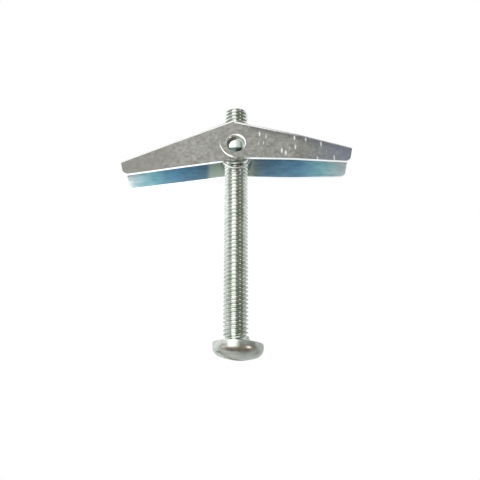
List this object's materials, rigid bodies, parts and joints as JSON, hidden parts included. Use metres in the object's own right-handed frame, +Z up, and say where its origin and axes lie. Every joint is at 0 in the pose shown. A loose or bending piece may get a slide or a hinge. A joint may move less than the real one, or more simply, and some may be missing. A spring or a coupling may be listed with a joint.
{
  "type": "spring toggle bolt",
  "caption": "Slotted pan-head bolt with a round trunnion nut and spring-opened folding channel wings, for fixing to hollow walls.",
  "frame": {"origin": "on the surface it lies on, below the middle of the whole part, on the vertical through the bolt's axis", "axes": "+Y along the bolt from head to tip, +Z up along the wings' hinge axis, +X towards the outer wing's tip"},
  "size_m": [0.0475, 0.0532, 0.0097],
  "materials": {
    "zinc_plated_screw": "bright zinc plated, rolled thread",
    "zinc_plated_nut": "zinc plated, turned",
    "zinc_plated_sheet": "zinc plated pressed sheet, scuffed, with a blue passivated sheen inside",
    "spring_wire": "bright drawn wire"
  },
  "bodies": {
    "bolt": {"bolt": "zinc_plated_screw"},
    "toggle_nut": {"trunnion_nut": "zinc_plated_nut", "spring": "spring_wire"},
    "outer_wing": {"outer_wing": "zinc_plated_sheet"},
    "inner_wing": {"inner_wing": "zinc_plated_sheet"}
  },
  "joints": [
    {"name": "nut_travel", "type": "slide", "parent": "bolt", "child": "toggle_nut", "axis": [0, 1, 0], "range_m": [-0.016, 0.005]},
    {"name": "outer_wing_fold", "type": "hinge", "parent": "toggle_nut", "child": "outer_wing", "pos_m": [0, 0.01615, 0.00485], "axis": [0, 0, -1], "range_deg": [0, 75], "stiffness_Nm_per_rad": 0.01, "springref_deg": -57.3, "deforming": ["spring"]},
    {"name": "inner_wing_fold", "type": "hinge", "parent": "toggle_nut", "child": "inner_wing", "pos_m": [0, 0.01615, 0.00485], "axis": [0, 0, 1], "range_deg": [0, 69], "stiffness_Nm_per_rad": 0.01, "springref_deg": -57.3, "deforming": ["spring"]}
  ]
}
